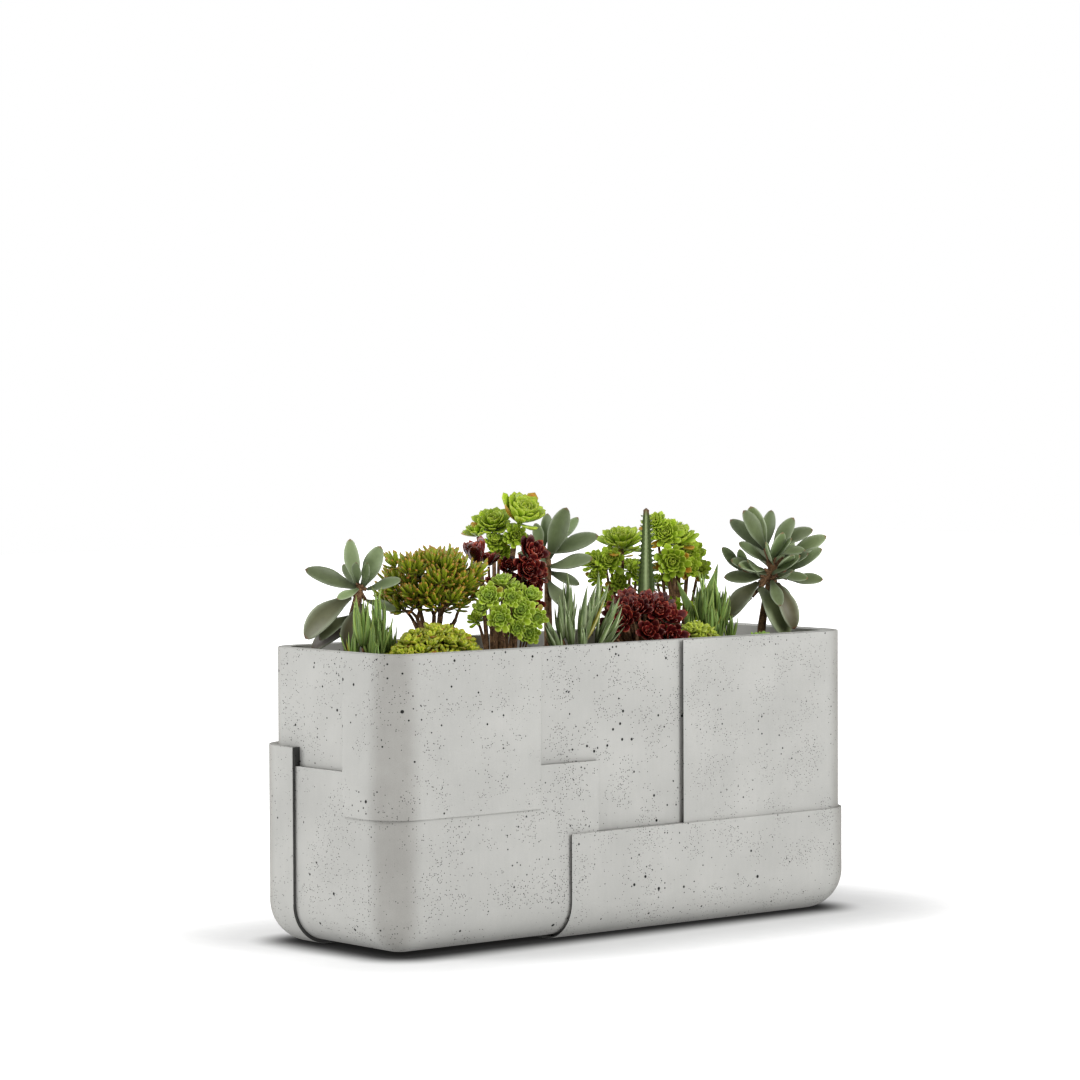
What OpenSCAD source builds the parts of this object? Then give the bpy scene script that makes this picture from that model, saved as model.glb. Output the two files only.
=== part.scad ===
// Planted concrete planter box: a rounded tub clad in five overlapping slabs.
// Millimetres, +Z up. The origin is on the floor under the middle of the box.
// The long front wall faces -Y.

/* [Tub] */
// Outer length of the tub along X
tub_length = 1000; // [900:10:1200]
// Outer depth of the tub along Y
tub_depth = 347; // [340:1:420]
// Height of the rim above the floor
rim_height = 486; // [470:1:560]
// Radius of the four vertical corners
corner_r = 60; // [58:1:75]
// Radius of the rounding between walls and underside
foot_r = 54; // [48:1:56]
// Thickness of walls and floor
wall_t = 22; // [20:1:26]
// Radius of the two drain holes
drain_r = 12.5; // [8:0.5:16]
// Distance of each drain hole from the middle
drain_x = 200; // [150:5:260]

/* [Slabs] */
// Thickness of the strap and the band, which carry the box
stand_t = 15.5; // [14:0.5:18]
// Thickness of the lower corner slab
corner_t = 9; // [7:0.5:11]
// Thickness of the upper right slab
side_t = 9.5; // [7:0.5:11]
// Thickness of the upper corner slab at its bottom lip
lip_t = 14; // [13:0.5:15]
// Thickness of the upper corner slab at the rim
rim_t = 2; // [1.5:0.5:3]
// Gap between a slab and what it lies on
bed = 0.3; // [0.2:0.1:0.5]
// Thickness of the lip that overhangs a shadow gap at a slab's left edge
gap_lip_t = 2.5; // [2:0.5:4]
// Width of the shadow gap behind that lip
gap_w = 10; // [6:1:14]
// Height of the top edge of the band
band_z = 178; // [170:1:190]
// Height of the top edge of the strap
strap_z = 326; // [310:1:340]
// Height of the top edge of the lower corner slab
corner_z = 295; // [285:1:300]
// Height of the bottom edge of the upper corner slab
lip_z = 223; // [210:1:235]

/* [Filling] */
// Height of the soil surface
soil_z = 448; // [430:1:460]
// Height of the top of the drainage gravel
gravel_z = 92; // [80:1:110]
// Thickness of the filter fleece
fleece_t = 2; // [1:0.5:4]
// Gap between the filling and the tub
fill_gap = 0.5; // [0.3:0.1:1]

/* [Hidden] */

$fn = 96;
half_x = tub_length / 2;
half_y = tub_depth / 2;
tub_z = stand_t;
far = 2000;
over = 5;

// Edges of the slabs, as distances along the walls from the middle of the box
band_left = -142;
band_back = 120;
corner_right = -78;
corner_back = 100;
side_left = 109;
side_back = 260;
side_low = 125;
strap_front = 73;
strap_back = -150;
lip_right = [-205, -192];
lip_back = [-58, -45];
// Half size of the open window in the underside, where only the tub is seen
window = [half_x - 130, half_y - 106];

// Fixings: M6 screws from inside the tub into brass inserts in the slabs
screw_r = 3;
screw_clear = 0.2;
head_r = 5;
head_t = 6;
socket_r = 2.9;
socket_deep = 3;
pocket_r = 6;
pocket_deep = 9;
insert_r = 4.5;
insert_t = 6;
FRONT = 0;
LEFT = 1;
BACK = 2;
RIGHT = 3;
// Each fixing is [wall, distance along the wall, height]
LIP_FIXINGS = [[FRONT, -420, 312], [FRONT, -270, 312], [LEFT, -95, 312]];
CORNER_FIXINGS = [[FRONT, -420, 130], [FRONT, -230, 130], [LEFT, -90, 130], [LEFT, 40, 130]];
STRAP_FIXINGS = [[BACK, -410, 130], [BACK, -410, 290], [BACK, -190, 130], [BACK, -190, 290]];
SIDE_FIXINGS = [[FRONT, 160, 230], [FRONT, 160, 430], [FRONT, 400, 230], [FRONT, 400, 430],
                [RIGHT, 0, 230], [RIGHT, 0, 430], [BACK, 330, 230], [BACK, 330, 430]];
BAND_FIXINGS = [[FRONT, -20, 100], [FRONT, 200, 100], [FRONT, 400, 100], [RIGHT, 0, 100],
                [BACK, 180, 100], [BACK, 400, 100]];
ALL_FIXINGS = concat(LIP_FIXINGS, CORNER_FIXINGS, STRAP_FIXINGS, SIDE_FIXINGS, BAND_FIXINGS);

screen_r = 24;
screen_t = 3;
slot_w = 4;

// Plants are [place, root radius, root depth]
root_gap = 0.3;
paddle_left_at = [-415, 62];
paddle_middle_at = [50, 100];
paddle_right_at = [405, -52];
finger_left_at = [-436, -32];
finger_middle_at = [-50, -92];
finger_right_at = [285, -52];
jelly_at = [-262, 25];
aeonium_tall_at = [-70, 98];
aeonium_middle_at = [190, 60];
aeonium_right_at = [318, 66];
dark_tall_at = [-128, 28];
dark_mound_at = [100, -92];
rosette_at = [-182, -82];
spurge_at = [172, -18];
gold_sedum_at = [-346, -92];
lime_sedum_at = [206, -108];
sprouts_at = [352, -112];
ROOTS = [
    [paddle_left_at, 34, 90], [paddle_middle_at, 34, 90], [paddle_right_at, 36, 100],
    [finger_left_at, 26, 60], [finger_middle_at, 30, 60], [finger_right_at, 28, 60],
    [jelly_at, 34, 80], [aeonium_tall_at, 28, 80], [aeonium_middle_at, 26, 80],
    [aeonium_right_at, 26, 80], [dark_tall_at, 24, 70], [dark_mound_at, 28, 60],
    [rosette_at, 28, 60], [spurge_at, 22, 70], [gold_sedum_at, 28, 50],
    [lime_sedum_at, 20, 40], [sprouts_at, 18, 40]
];
PADDLE_LEFT = 0;
PADDLE_MIDDLE = 1;
PADDLE_RIGHT = 2;
FINGER_LEFT = 3;
FINGER_MIDDLE = 4;
FINGER_RIGHT = 5;
JELLY = 6;
AEONIUM_TALL = 7;
AEONIUM_MIDDLE = 8;
AEONIUM_RIGHT = 9;
DARK_TALL = 10;
DARK_MOUND = 11;
ROSETTE = 12;
SPURGE = 13;
GOLD_SEDUM = 14;
LIME_SEDUM = 15;
SPROUTS = 16;

// Cross-section of a box with two rounded lower edges
module trough_section(half_w, r, h) {
    translate([-half_w, r]) square([2 * half_w, h - r]);
    translate([r - half_w, 0]) square([2 * (half_w - r), h]);
    for (side = [-1, 1])
        translate([side * (half_w - r), r]) circle(r);
}

// Radial section of a corner post with a rounded foot
module post_section(r_post, r_foot, h) {
    square([r_post - r_foot, h]);
    translate([0, r_foot]) square([r_post, h - r_foot]);
    intersection() {
        translate([r_post - r_foot, r_foot]) circle(r_foot);
        square([r_post, h]);
    }
}

// The rounded box of the tub, grown outwards by t, with its top at height top
module grown_box(t, top = rim_height) {
    core_x = half_x - corner_r;
    core_y = half_y - corner_r;
    h = top - tub_z + t;
    translate([0, 0, tub_z - t]) {
        rotate([90, 0, 90]) translate([0, 0, -core_x])
            linear_extrude(2 * core_x) trough_section(half_y + t, foot_r + t, h);
        rotate([90, 0, 0]) translate([0, 0, -core_y])
            linear_extrude(2 * core_y) trough_section(half_x + t, foot_r + t, h);
        for (sx = [-1, 1], sy = [-1, 1])
            translate([sx * core_x, sy * core_y, 0])
                rotate_extrude() post_section(corner_r + t, foot_r + t, h);
    }
}

// A box between two opposite corners
module block(low, high) {
    translate(low) cube(high - low);
}

// A layer of thickness t around the tub, open under the middle of the box
module layer(t) {
    difference() {
        grown_box(t);
        grown_box(bed, rim_height + over);
        block([-window[0], -window[1], -over], [window[0], window[1], tub_z + over]);
    }
}

// Moves a fixing, drawn along +Z from the tub's outer face, to its wall
module at_wall(fixing) {
    wall = fixing[0];
    reach = (wall == FRONT || wall == BACK) ? half_y : half_x;
    turn = [0, -90, 180, 90][wall];
    along = (wall == FRONT || wall == RIGHT) ? fixing[1] : -fixing[1];
    rotate([0, 0, turn]) translate([along, -reach, fixing[2]]) rotate([90, 0, 0]) children();
}

// Blind holes for the inserts of some fixings
module insert_holes(fixings) {
    for (f = fixings)
        at_wall(f) translate([0, 0, -over]) cylinder(h = over + bed + insert_t, r = insert_r);
}

// The rebate behind the left edge of a front slab of thickness t
module shadow_gap(x_edge, t) {
    intersection() {
        grown_box(t - gap_lip_t, rim_height + over);
        block([x_edge - over, -far, -over], [x_edge + gap_w, 0, far]);
    }
}

module tub() {
    color("lightgray") difference() {
        grown_box(0);
        grown_box(-wall_t, rim_height + over);
        for (side = [-1, 1])
            translate([side * drain_x, 0, 0]) cylinder(h = tub_z + wall_t + over, r = drain_r);
        for (f = ALL_FIXINGS)
            at_wall(f) {
                translate([0, 0, -wall_t - over]) cylinder(h = wall_t + 2 * over, r = screw_r + screw_clear);
                translate([0, 0, -wall_t - over]) cylinder(h = over + pocket_deep, r = pocket_r);
            }
    }
}

module lower_corner_shape() {
    intersection() {
        layer(corner_t);
        block([-far, -far, -over], [corner_right, corner_back, corner_z]);
    }
}

module lower_corner_slab() {
    color("gainsboro") difference() {
        lower_corner_shape();
        insert_holes(CORNER_FIXINGS);
    }
}

// Wedge that widens from the rim down to the lip, standing on one straight wall
module lip_wedge(length, reach) {
    rotate([90, 0, 90]) linear_extrude(length)
        polygon([[0, lip_z], [-reach - lip_t, lip_z], [-reach - rim_t, rim_height], [0, rim_height]]);
}

module upper_corner_slab() {
    core_x = half_x - corner_r;
    core_y = half_y - corner_r;
    color("silver") difference() {
        intersection() {
            union() {
                translate([-core_x, 0, 0]) lip_wedge(core_x, half_y);
                rotate([0, 0, -90]) lip_wedge(core_y, half_x);
                translate([-core_x, -core_y, lip_z])
                    cylinder(h = rim_height - lip_z, r1 = corner_r + lip_t, r2 = corner_r + rim_t);
            }
            translate([0, far, 0]) rotate([90, 0, 0]) linear_extrude(2 * far)
                polygon([[-far, lip_z], [lip_right[0], lip_z], [lip_right[1], rim_height], [-far, rim_height]]);
            translate([-far, 0, 0]) rotate([90, 0, 90]) linear_extrude(2 * far)
                polygon([[-far, lip_z], [lip_back[0], lip_z], [lip_back[1], rim_height], [-far, rim_height]]);
        }
        grown_box(bed, rim_height + over);
        intersection() {
            grown_box(corner_t + bed);
            block([-far, -far, -over], [corner_right, corner_back, corner_z + bed]);
        }
        insert_holes(LIP_FIXINGS);
    }
}

module strap_slab() {
    color("lightgray") difference() {
        intersection() {
            layer(stand_t);
            block([-far, strap_front, -over], [strap_back, far, strap_z]);
        }
        intersection() {
            grown_box(corner_t + bed);
            block([-far, -far, -over], [far, corner_back + bed, corner_z + bed]);
        }
        insert_holes(STRAP_FIXINGS);
    }
}

// Plan of the upper side slab: round the right end and a little way along the back
module side_plan(z_low, z_high, grow) {
    block([side_left - grow, -far, z_low], [far, 0, z_high]);
    block([side_back - grow, -over, z_low], [far, far, z_high]);
}

module upper_side_slab() {
    color("gainsboro") difference() {
        intersection() {
            layer(side_t);
            side_plan(side_low, rim_height, 0);
        }
        shadow_gap(side_left, side_t);
        insert_holes(SIDE_FIXINGS);
    }
}

module lower_band() {
    color("lightgray") difference() {
        intersection() {
            layer(stand_t);
            union() {
                block([band_left, -far, -over], [far, 0, band_z]);
                block([band_back, -over, -over], [far, far, band_z]);
            }
        }
        intersection() {
            grown_box(corner_t + bed);
            block([-far, -far, -over], [corner_right + bed, corner_back, corner_z]);
        }
        intersection() {
            grown_box(side_t + bed);
            side_plan(side_low - bed, rim_height, bed);
        }
        shadow_gap(band_left, stand_t);
        insert_holes(BAND_FIXINGS);
    }
}

module slab_screws() {
    color("silver") for (f = ALL_FIXINGS)
        at_wall(f) difference() {
            union() {
                translate([0, 0, pocket_deep - wall_t - head_t]) cylinder(h = head_t, r = head_r);
                translate([0, 0, pocket_deep - wall_t - over / 5])
                    cylinder(h = wall_t - pocket_deep + insert_t + over / 5, r = screw_r);
            }
            translate([0, 0, pocket_deep - wall_t - head_t - over])
                cylinder(h = over + socket_deep, r = socket_r, $fn = 6);
        }
}

module slab_inserts() {
    color("goldenrod") for (f = ALL_FIXINGS)
        at_wall(f) translate([0, 0, bed]) difference() {
            cylinder(h = insert_t, r = insert_r);
            translate([0, 0, -over]) cylinder(h = insert_t + 2 * over, r = screw_r);
        }
}

module drain_screens() {
    color("dimgray") for (side = [-1, 1])
        translate([side * drain_x, 0, tub_z + wall_t]) difference() {
            cylinder(h = screen_t, r = screen_r);
            for (slot = [-2 : 2])
                translate([-drain_r, slot * 2 * slot_w - slot_w / 2, -over]) cube([2 * drain_r, slot_w, 3 * over]);
        }
}

// A slice of the space inside the tub
module filling(low, high) {
    intersection() {
        grown_box(-wall_t - fill_gap);
        block([-far, -far, low], [far, far, high]);
    }
}

module drainage_gravel() {
    color("slategray") difference() {
        filling(0, gravel_z);
        for (side = [-1, 1])
            translate([side * drain_x, 0, 0])
                cylinder(h = tub_z + wall_t + screen_t + fill_gap, r = screen_r + fill_gap);
    }
}

module filter_fleece() {
    color("whitesmoke") filling(gravel_z, gravel_z + fleece_t);
}

module growing_medium() {
    color("saddlebrown") difference() {
        filling(gravel_z + fleece_t, soil_z);
        for (root = ROOTS)
            translate([root[0][0], root[0][1], soil_z - root[2] - root_gap])
                cylinder(h = root[2] + over, r = root[1] + root_gap);
    }
}

// A plant's plain body: root ball in the soil, stem, and a round crown
module plant(root, stem_r, crown_r, crown_low, crown_top) {
    mid = (crown_low + crown_top) / 2;
    half_h = (crown_top - crown_low) / 2;
    translate([root[0][0], root[0][1], 0]) {
        translate([0, 0, soil_z - root[2]]) cylinder(h = root[2], r = root[1]);
        translate([0, 0, soil_z - over]) cylinder(h = mid - soil_z + over, r = stem_r);
        rotate_extrude($fn = 32)
            polygon([for (a = [-90 : 15 : 90]) [crown_r * cos(a), mid + half_h * sin(a)]]);
    }
}

module paddle_plant_left() {
    color("cadetblue") plant(ROOTS[PADDLE_LEFT], 8, 55, 560, 657);
}

module paddle_plant_middle() {
    color("cadetblue") plant(ROOTS[PADDLE_MIDDLE], 8, 46, 560, 702);
}

module paddle_plant_right() {
    color("cadetblue") plant(ROOTS[PADDLE_RIGHT], 9, 78, 560, 703);
}

module finger_plant_left() {
    color("mediumseagreen") plant(ROOTS[FINGER_LEFT], 16, 30, 460, 558);
}

module finger_plant_middle() {
    color("mediumseagreen") plant(ROOTS[FINGER_MIDDLE], 18, 50, 460, 610);
}

module finger_plant_right() {
    color("olivedrab") plant(ROOTS[FINGER_RIGHT], 14, 44, 460, 556);
}

module jelly_shrub() {
    color("darkkhaki") plant(ROOTS[JELLY], 12, 88, 490, 655);
}

module green_aeonium_tall() {
    color("yellowgreen") plant(ROOTS[AEONIUM_TALL], 8, 50, 600, 735);
}

module green_aeonium_middle() {
    color("yellowgreen") plant(ROOTS[AEONIUM_MIDDLE], 7, 44, 590, 669);
}

module green_aeonium_right() {
    color("yellowgreen") plant(ROOTS[AEONIUM_RIGHT], 7, 44, 590, 688);
}

module dark_aeonium_tall() {
    color("brown") plant(ROOTS[DARK_TALL], 7, 36, 540, 651);
}

module dark_aeonium_mound() {
    color("brown") plant(ROOTS[DARK_MOUND], 14, 56, 460, 566);
}

module rosette_cluster() {
    color("yellowgreen") plant(ROOTS[ROSETTE], 12, 46, 470, 587);
}

module column_spurge() {
    color("seagreen") plant(ROOTS[SPURGE], 14, 18, 450, 703);
}

module gold_sedum_front() {
    color("gold") plant(ROOTS[GOLD_SEDUM], 20, 54, 449, 525);
}

module lime_sedum_right() {
    color("greenyellow") plant(ROOTS[LIME_SEDUM], 16, 34, 449, 508);
}

module sprout_clump() {
    color("greenyellow") plant(ROOTS[SPROUTS], 8, 24, 449, 520);
}

tub();
lower_corner_slab();
upper_corner_slab();
strap_slab();
upper_side_slab();
lower_band();
slab_screws();
slab_inserts();
drain_screens();
drainage_gravel();
filter_fleece();
growing_medium();
paddle_plant_left();
paddle_plant_middle();
paddle_plant_right();
finger_plant_left();
finger_plant_middle();
finger_plant_right();
jelly_shrub();
green_aeonium_tall();
green_aeonium_middle();
green_aeonium_right();
dark_aeonium_tall();
dark_aeonium_mound();
rosette_cluster();
column_spurge();
gold_sedum_front();
lime_sedum_right();
sprout_clump();
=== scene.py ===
"""Planted concrete planter box: cladding, succulents, soil and studio."""

import math
import random
from typing import NamedTuple

import bmesh
import bpy
from bpy.props import FloatProperty, FloatVectorProperty, IntProperty, PointerProperty
from bpy.types import Operator, Panel, PropertyGroup
from mathutils import Matrix, Vector, noise


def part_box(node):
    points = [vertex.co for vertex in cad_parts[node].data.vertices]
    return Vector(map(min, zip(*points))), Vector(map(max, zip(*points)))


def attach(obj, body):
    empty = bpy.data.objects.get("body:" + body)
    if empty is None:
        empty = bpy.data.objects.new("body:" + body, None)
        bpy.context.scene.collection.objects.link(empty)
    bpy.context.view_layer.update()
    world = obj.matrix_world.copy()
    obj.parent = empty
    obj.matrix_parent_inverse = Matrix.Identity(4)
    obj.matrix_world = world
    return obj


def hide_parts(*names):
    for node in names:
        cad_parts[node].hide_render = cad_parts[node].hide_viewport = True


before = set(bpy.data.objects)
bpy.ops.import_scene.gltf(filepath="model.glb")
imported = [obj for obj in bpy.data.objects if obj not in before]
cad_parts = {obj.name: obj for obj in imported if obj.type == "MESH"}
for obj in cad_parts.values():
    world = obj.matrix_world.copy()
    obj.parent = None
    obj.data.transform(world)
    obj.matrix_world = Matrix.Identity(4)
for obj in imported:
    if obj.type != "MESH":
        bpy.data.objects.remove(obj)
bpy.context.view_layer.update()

bl_info = {
    "name": "Concrete planter box",
    "version": (1, 0, 0),
    "blender": (4, 5, 0),
    "location": "View3D > Sidebar > Planter",
    "description": "Builds the slab-clad concrete planter, its succulents and a studio",
    "category": "Object",
}

MM = 0.001
UP = Vector((0, 0, 1))
TUB_LOW, TUB_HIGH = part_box("tub")
SOIL_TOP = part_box("growing_medium")[1].z
SOIL_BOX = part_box("growing_medium")
CORNER_R = 60 * MM
FOOT_R = 54 * MM
WALL_T = 22 * MM
SHARP = math.radians(35)
GOLDEN_ANGLE = math.radians(137.508)
# The plants lean to the front left corner, where they get their light
LIGHT_TURN = math.radians(39.7)
OUTLOOK = Vector((-math.sin(LIGHT_TURN), -math.cos(LIGHT_TURN), 0))
ACROSS = Vector((math.cos(LIGHT_TURN), -math.sin(LIGHT_TURN), 0))
# A radius that counts as zero, and a curl that counts as none
TINY = 1e-6
STRAIGHT = 1e-4
# Height above anything, so that only X and Y count
FAR_UP = 1000.0
# How thick a leaf's upper side is against its lower side
UPPER_SIDE = 0.55
# Points after which a heap starts its next part
FULL_PART = 1500
# Crumbs of the soil: their middle above the soil's top, and how much they rise and fall
CRUST = 3.6 * MM
CRUMBS = 2.6 * MM
# Air bubbles: cells per metre, radius in cells, share of the cells and scale of the clusters
BUBBLES = ((330.0, 0.27, 0.34, 17.0), (150.0, 0.23, 0.09, 12.0), (42.0, 0.115, 0.85, 6.0))
# Painted shade on the concrete's rounded vertical corners, multiplied into its colour
CORNER_SHADE = (0.76, 0.745, 0.73, 1.0)
# How much of the concrete's brightness is left on the slab edge faces that carry painted shade
EDGE_SHADE = 0.16
# Floor: grey of its painted shadow under the box, glow towards the object, and distances over which a glow
# seen only by the camera turns it white
FLOOR_SHADOW_GREY = 0.07
FLOOR_GLOW = 0.30
GLOW_REACH = (0.10, 0.65)
GRIT_COUNT = 420
JELLY_LOBES = 18
TOOTH_PITCH = 8.5 * MM
LEAF_COLOURS = ("Body", "Young", "Edge", "Tip", "Old")
LEAF_AMOUNTS = ("Edge Amount", "Tip Amount", "Tip Start", "Old Share", "Variety")

# Rosettes of the branching plants: sideways, depth and height above the soil, radius (mm),
# how far each one turns from the sky to the light, and its own opening (degrees) if it has one
TALL_GREEN_HEADS = [
    (5, 10, 224, 42, 0.45), (31, -30, 238, 54, 0.35, 66), (10, 0, 180, 27, 0.7), (16, -34, 210, 25, 0.8),
    (-16, 26, 212, 31, 0.1), (30, 4, 196, 24, 0.3), (-6, -8, 198, 22, 0.6),
    (-30, 10, 66, 22, 0.5), (24, -12, 52, 24, 0.6), (8, 20, 96, 22, 0.0), (-8, -16, 120, 21, 0.7),
]
MIDDLE_GREEN_HEADS = [
    (-5, 0, 186, 49, 0.25), (-40, -8, 160, 31, 0.6), (-56, 14, 156, 29, 0.5), (30, 20, 146, 29, 0.3),
    (8, -24, 140, 25, 0.7), (20, 34, 170, 31, 0.0), (-26, 20, 148, 27, 0.3), (-62, 0, 134, 21, 0.6),
    (36, -6, 118, 21, 0.6), (-30, -20, 126, 22, 0.8), (-20, -14, 66, 24, 0.7), (18, -18, 54, 23, 0.8),
    (-46, -2, 92, 22, 0.6), (40, 12, 72, 23, 0.4), (0, 30, 104, 25, -0.3),
]
RIGHT_GREEN_HEADS = [
    (-42, 10, 220, 29, 0.4), (-32, -6, 202, 33, 0.6), (-5, -5, 190, 40, 0.3), (-32, -25, 156, 37, 0.9),
    (38, 10, 164, 35, 0.6), (26, 22, 184, 33, 0.4), (4, 30, 206, 36, 0.1), (0, -30, 144, 25, 0.7),
    (42, -10, 138, 25, 0.7), (14, -14, 168, 26, 0.8), (-20, -10, 74, 24, 0.7), (22, -12, 62, 24, 0.8),
    (6, 26, 110, 26, -0.3), (-34, 16, 120, 24, -0.1),
]
TALL_DARK_HEADS = [
    (-27, 10, 168, 48, 0.12, 36), (40, -44, 182, 38, 0.6), (29, -50, 158, 36, 0.9), (14, -20, 158, 27, 0.6),
    (54, -40, 144, 30, 0.6), (30, -22, 130, 29, 0.8), (54, -28, 118, 27, 0.7), (6, 22, 164, 31, 0.1),
    (44, -46, 102, 25, 0.9), (20, -30, 104, 25, 0.8), (34, -56, 132, 26, 0.9), (-4, -8, 128, 24, 0.6),
]
CLUSTER_HEADS = [
    (-42, 0, 118, 27, 0.7), (0, 20, 136, 26, 0.35), (-34, -15, 84, 26, 0.9), (10, -12, 94, 30, 0.8),
    (48, 12, 112, 26, 0.6), (30, -8, 56, 26, 0.9), (28, 30, 124, 25, 0.3), (-20, 24, 104, 24, 0.1),
    (-12, -16, 116, 22, 0.8), (42, -14, 82, 23, 0.9), (-2, -18, 66, 20, 0.9), (-54, 6, 98, 20, 0.5),
]
# Paddle leaves: place across and above the hub (mm), direction from upright (degrees),
# length (mm), lean to the light (degrees) and age from fresh 0 to withered 1
LEFT_PADDLES = [
    (0, 0, -74, 96, 10, 0.45), (-12, -12, -122, 106, 18, 0.8), (-14, -46, -112, 66, 25, 0.7),
    (-10, -66, -103, 82, 8, 1.0), (-4, 4, -6, 78, 0, 0.25), (8, 3, 14, 46, 20, 0.0), (4, 0, 30, 80, 5, 0.15),
    (12, -2, 78, 64, 14, 0.0), (0, 0, -122, 50, 34, 0.0), (-2, 8, 2, 46, 36, 0.0),
    (-2, -30, -160, 72, 30, 0.9), (2, -24, 165, 66, 20, 0.9), (10, -20, 112, 56, -20, 0.3),
    (0, 0, -40, 56, -40, 0.2),
]
MIDDLE_PADDLES = [
    (0, 0, 23, 98, 4, 0.3), (14, 28, 46, 60, -18, 0.0), (0, 12, 76, 94, 6, 0.3),
    (2, -12, 83, 86, 24, 0.4), (0, -5, -52, 82, 10, 0.2), (-7, 22, 5, 60, -20, 0.0),
    (-10, 16, -18, 60, 28, 0.2), (0, -20, 118, 60, -10, 0.3), (0, 0, -84, 60, -30, 0.2),
    (0, 6, 44, 66, -50, 0.1), (0, -20, -130, 62, 16, 0.4), (0, -36, 150, 66, 26, 0.5),
]
RIGHT_PADDLES = [
    (-10, 45, -17, 80, 4, 0.4), (-10, 45, -33, 84, 18, 0.4), (-10, 42, -52, 82, -14, 0.3),
    (5, 52, 72, 74, 10, 0.4), (-22, -22, 141, 104, 22, 0.6), (-34, -40, -118, 66, 12, 1.0),
    (-50, 5, -48, 60, 10, 0.1), (14, 17, 78, 66, 30, 0.2), (10, 0, 104, 62, 26, 0.4),
    (0, 34, 34, 78, 8, 0.3), (0, 20, 10, 74, 30, 0.1), (0, 0, 58, 72, 34, 0.1),
    (-6, 0, -72, 80, 24, 0.4), (0, -10, 164, 60, 36, 0.4), (-14, -4, -98, 74, 10, 0.5),
    (0, 10, 44, 72, -34, 0.3), (0, 10, -24, 76, -40, 0.3), (0, 0, 84, 56, -40, 0.3),
    (-10, 44, 12, 70, -16, 0.2), (-8, 24, -64, 76, 34, 0.2), (4, 16, -34, 66, 46, 0.0),
    (-22, -14, -124, 82, 30, 0.8), (6, 30, 52, 64, 44, 0.0), (-8, -12, 124, 64, 8, 0.6),
    (-44, 8, -16, 44, 24, 0.0), (4, 40, 92, 60, 22, 0.4), (22, 28, 68, 86, 8, 0.4),
    (26, 6, 62, 80, 22, 0.2), (28, -8, 96, 66, 18, 0.5), (8, -14, 152, 92, 34, 0.9),
    (-12, 8, -84, 70, 44, 0.3), (12, 10, 28, 66, 56, 0.1), (-20, -4, -50, 62, 50, 0.2),
    (6, -8, 78, 62, 58, 0.3),
]
# Shoots of the finger plants: sideways, depth and height (mm), leaves, leaf length (mm), lean
LEFT_FINGERS = [
    (-16, -4, 42, 20, 90, 0), (10, -14, 30, 18, 80, 0), (26, 8, 54, 18, 86, 0), (-24, 12, 16, 14, 66, 0),
    (38, 2, 20, 16, 72, 0), (0, -20, 6, 14, 66, 0), (8, 14, 28, 15, 82, 0), (-6, -14, 20, 14, 76, 0),
]
MIDDLE_FINGERS = [
    (-34, -4, 42, 13, 86, -0.05), (6, -6, 30, 14, 112, 0.22), (28, 6, 44, 14, 114, 0.30),
    (-8, 12, 50, 12, 104, 0.0), (-40, -10, 12, 10, 82, -0.35), (32, -16, 12, 10, 96, 0.60),
    (0, -20, 8, 10, 78, 0.0), (46, 0, 30, 11, 92, 0.45), (-22, -16, 30, 10, 76, -0.1),
]
RIGHT_FINGERS = [
    (-20, -4, 48, 18, 92, 0), (12, -8, 42, 19, 94, 0), (0, 14, 52, 17, 96, 0), (32, 6, 32, 17, 84, 0),
    (-32, 10, 20, 14, 76, 0), (2, -20, 14, 16, 74, 0), (44, -8, 14, 13, 66, 0), (-12, -18, 26, 15, 80, 0),
]


def from_pole(point):
    """How far a point of the unit sphere is from its lower pole, from 0 to 1."""
    return math.acos(max(-1.0, min(1.0, -point.z))) / math.pi


def heading_out(heading):
    """Level direction at an angle."""
    return Vector((math.cos(heading), math.sin(heading), 0))


class LeafShape(NamedTuple):
    """Outline of a leaf of length 1 that grows along +Z with its upper face towards +Y."""

    width: float
    thick: float
    widest: float
    base: float
    tip: float
    blunt: float
    cup: float = 0.0
    around: int = 8
    rings: int = 6

    def spread(self, along):
        """Half width at a place along the leaf, from 0 to 1."""
        if along < self.widest:
            part = along / self.widest
            return self.base + (1 - self.base) * part * part * (3 - 2 * part)
        part = (along - self.widest) / (1 - self.widest)
        return max(0.0, 1 - part ** self.tip) ** self.blunt

    def place(self, point, curl):
        """Where a point of the unit sphere goes, with its place along the leaf and its edge mask."""
        along = 0.45 * from_pole(point) + 0.55 * (point.z + 1) / 2
        radius = math.hypot(point.x, point.y)
        side = point.x / radius if radius > TINY else 0.0
        face = point.y / radius if radius > TINY else 0.0
        half = self.spread(along) if TINY < along < 1 else 0.0
        x = half * side * self.width / 2
        flat = UPPER_SIDE if face > 0 else 1.0
        y = half * face * flat * self.thick / 2 + self.cup * (half * side) ** 2 * self.width
        turn = curl * along
        if abs(curl) < STRAIGHT:
            centre = Vector((0, 0, along))
        else:
            centre = Vector((0, (1 - math.cos(turn)) / curl, math.sin(turn) / curl))
        co = centre + Vector((x, y * math.cos(turn), -y * math.sin(turn)))
        return co, along, abs(side) ** 3


SPOON = LeafShape(0.50, 0.13, 0.74, 0.30, 2.6, 0.55, cup=0.10)
WINE = LeafShape(0.46, 0.12, 0.66, 0.30, 1.9, 0.75, cup=0.14)
PADDLE = LeafShape(0.42, 0.10, 0.56, 0.30, 2.1, 0.62, cup=0.15, around=14, rings=14)
FINGER = LeafShape(0.088, 0.09, 0.42, 0.62, 1.5, 0.90, around=8, rings=8)
BLADE = LeafShape(0.15, 0.09, 0.36, 0.60, 1.3, 0.95, cup=0.18, around=8, rings=10)
TUBE = LeafShape(0.21, 0.21, 0.70, 0.66, 2.6, 0.60, around=6, rings=5)
SCALE = LeafShape(0.62, 0.26, 0.62, 0.42, 2.0, 0.65, cup=0.08, around=6, rings=5)
THORN = LeafShape(0.60, 0.60, 0.30, 0.90, 1.0, 1.0, around=5, rings=3)


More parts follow.
